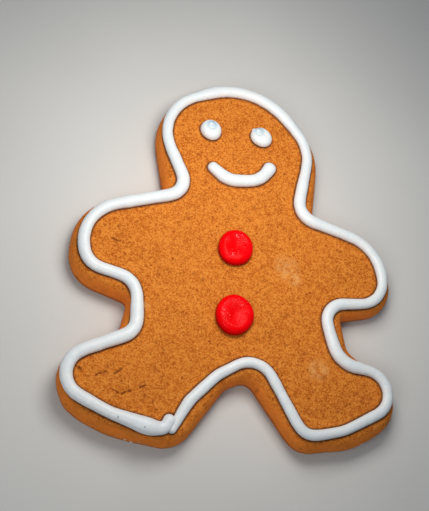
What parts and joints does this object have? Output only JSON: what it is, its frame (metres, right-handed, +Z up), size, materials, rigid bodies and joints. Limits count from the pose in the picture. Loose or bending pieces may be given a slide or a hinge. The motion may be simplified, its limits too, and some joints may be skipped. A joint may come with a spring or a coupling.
{
  "type": "gingerbread man cookie",
  "caption": "Flat gingerbread man biscuit with rounded limbs, a raised white icing line round its edge, iced eyes and smile, and red sugar buttons.",
  "frame": {"origin": "on the underside of the biscuit, under the middle of its length and width", "axes": "+Z up out of the iced face, +Y towards the head, +X towards the right as seen from above with the head up"},
  "size_m": [0.101, 0.1192, 0.0117],
  "materials": {
    "gingerbread": "matt baked crumb, browner on the edge",
    "white_icing": "satin royal icing",
    "red_sugar": "wet-looking red sugar glaze"
  },
  "bodies": {
    "root": {"biscuit": "gingerbread", "icing_outline": "white_icing", "smile": "white_icing", "eye_left": "white_icing", "eye_right": "white_icing", "button_upper": "red_sugar", "button_lower": "red_sugar"}
  },
  "joints": []
}
